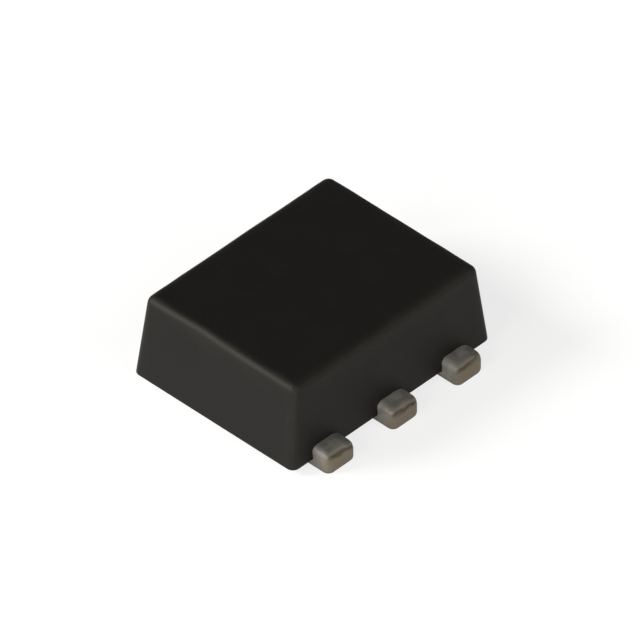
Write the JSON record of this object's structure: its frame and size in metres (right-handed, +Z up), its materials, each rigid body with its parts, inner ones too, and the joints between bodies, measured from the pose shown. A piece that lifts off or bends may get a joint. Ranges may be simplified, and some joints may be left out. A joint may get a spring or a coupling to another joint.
{
  "type": "rf amplifier ic",
  "caption": "Small flat-lead plastic surface-mount chip package with a drafted black moulded body and short tinned leads cut off close beside two sides.",
  "frame": {"origin": "middle of the package's bounding box", "axes": "+Z up out of the circuit board, leads along both X sides, +Y along a row of leads towards the back end face"},
  "size_m": [0.0014, 0.0014, 0.0006],
  "materials": {
    "mould_epoxy": "fine spark-eroded matt, charcoal black",
    "tinned_lead": "copper alloy with matt tin plating, warm grey",
    "silver_epoxy": "silver-filled epoxy, dull",
    "silicon": "sawn and polished semiconductor chip",
    "gold_wire": "drawn gold wire"
  },
  "bodies": {
    "root": {"mould_body": "mould_epoxy", "ground_frame": "tinned_lead", "input_lead": "tinned_lead", "second_ground_lead": "tinned_lead", "output_lead": "tinned_lead", "supply_lead": "tinned_lead", "chip_epoxy": "silver_epoxy", "chip": "silicon", "input_wire": "gold_wire", "second_ground_wire": "gold_wire", "output_wire": "gold_wire", "supply_wire": "gold_wire", "front_pad_wire": "gold_wire", "back_pad_wire": "gold_wire"}
  },
  "joints": []
}
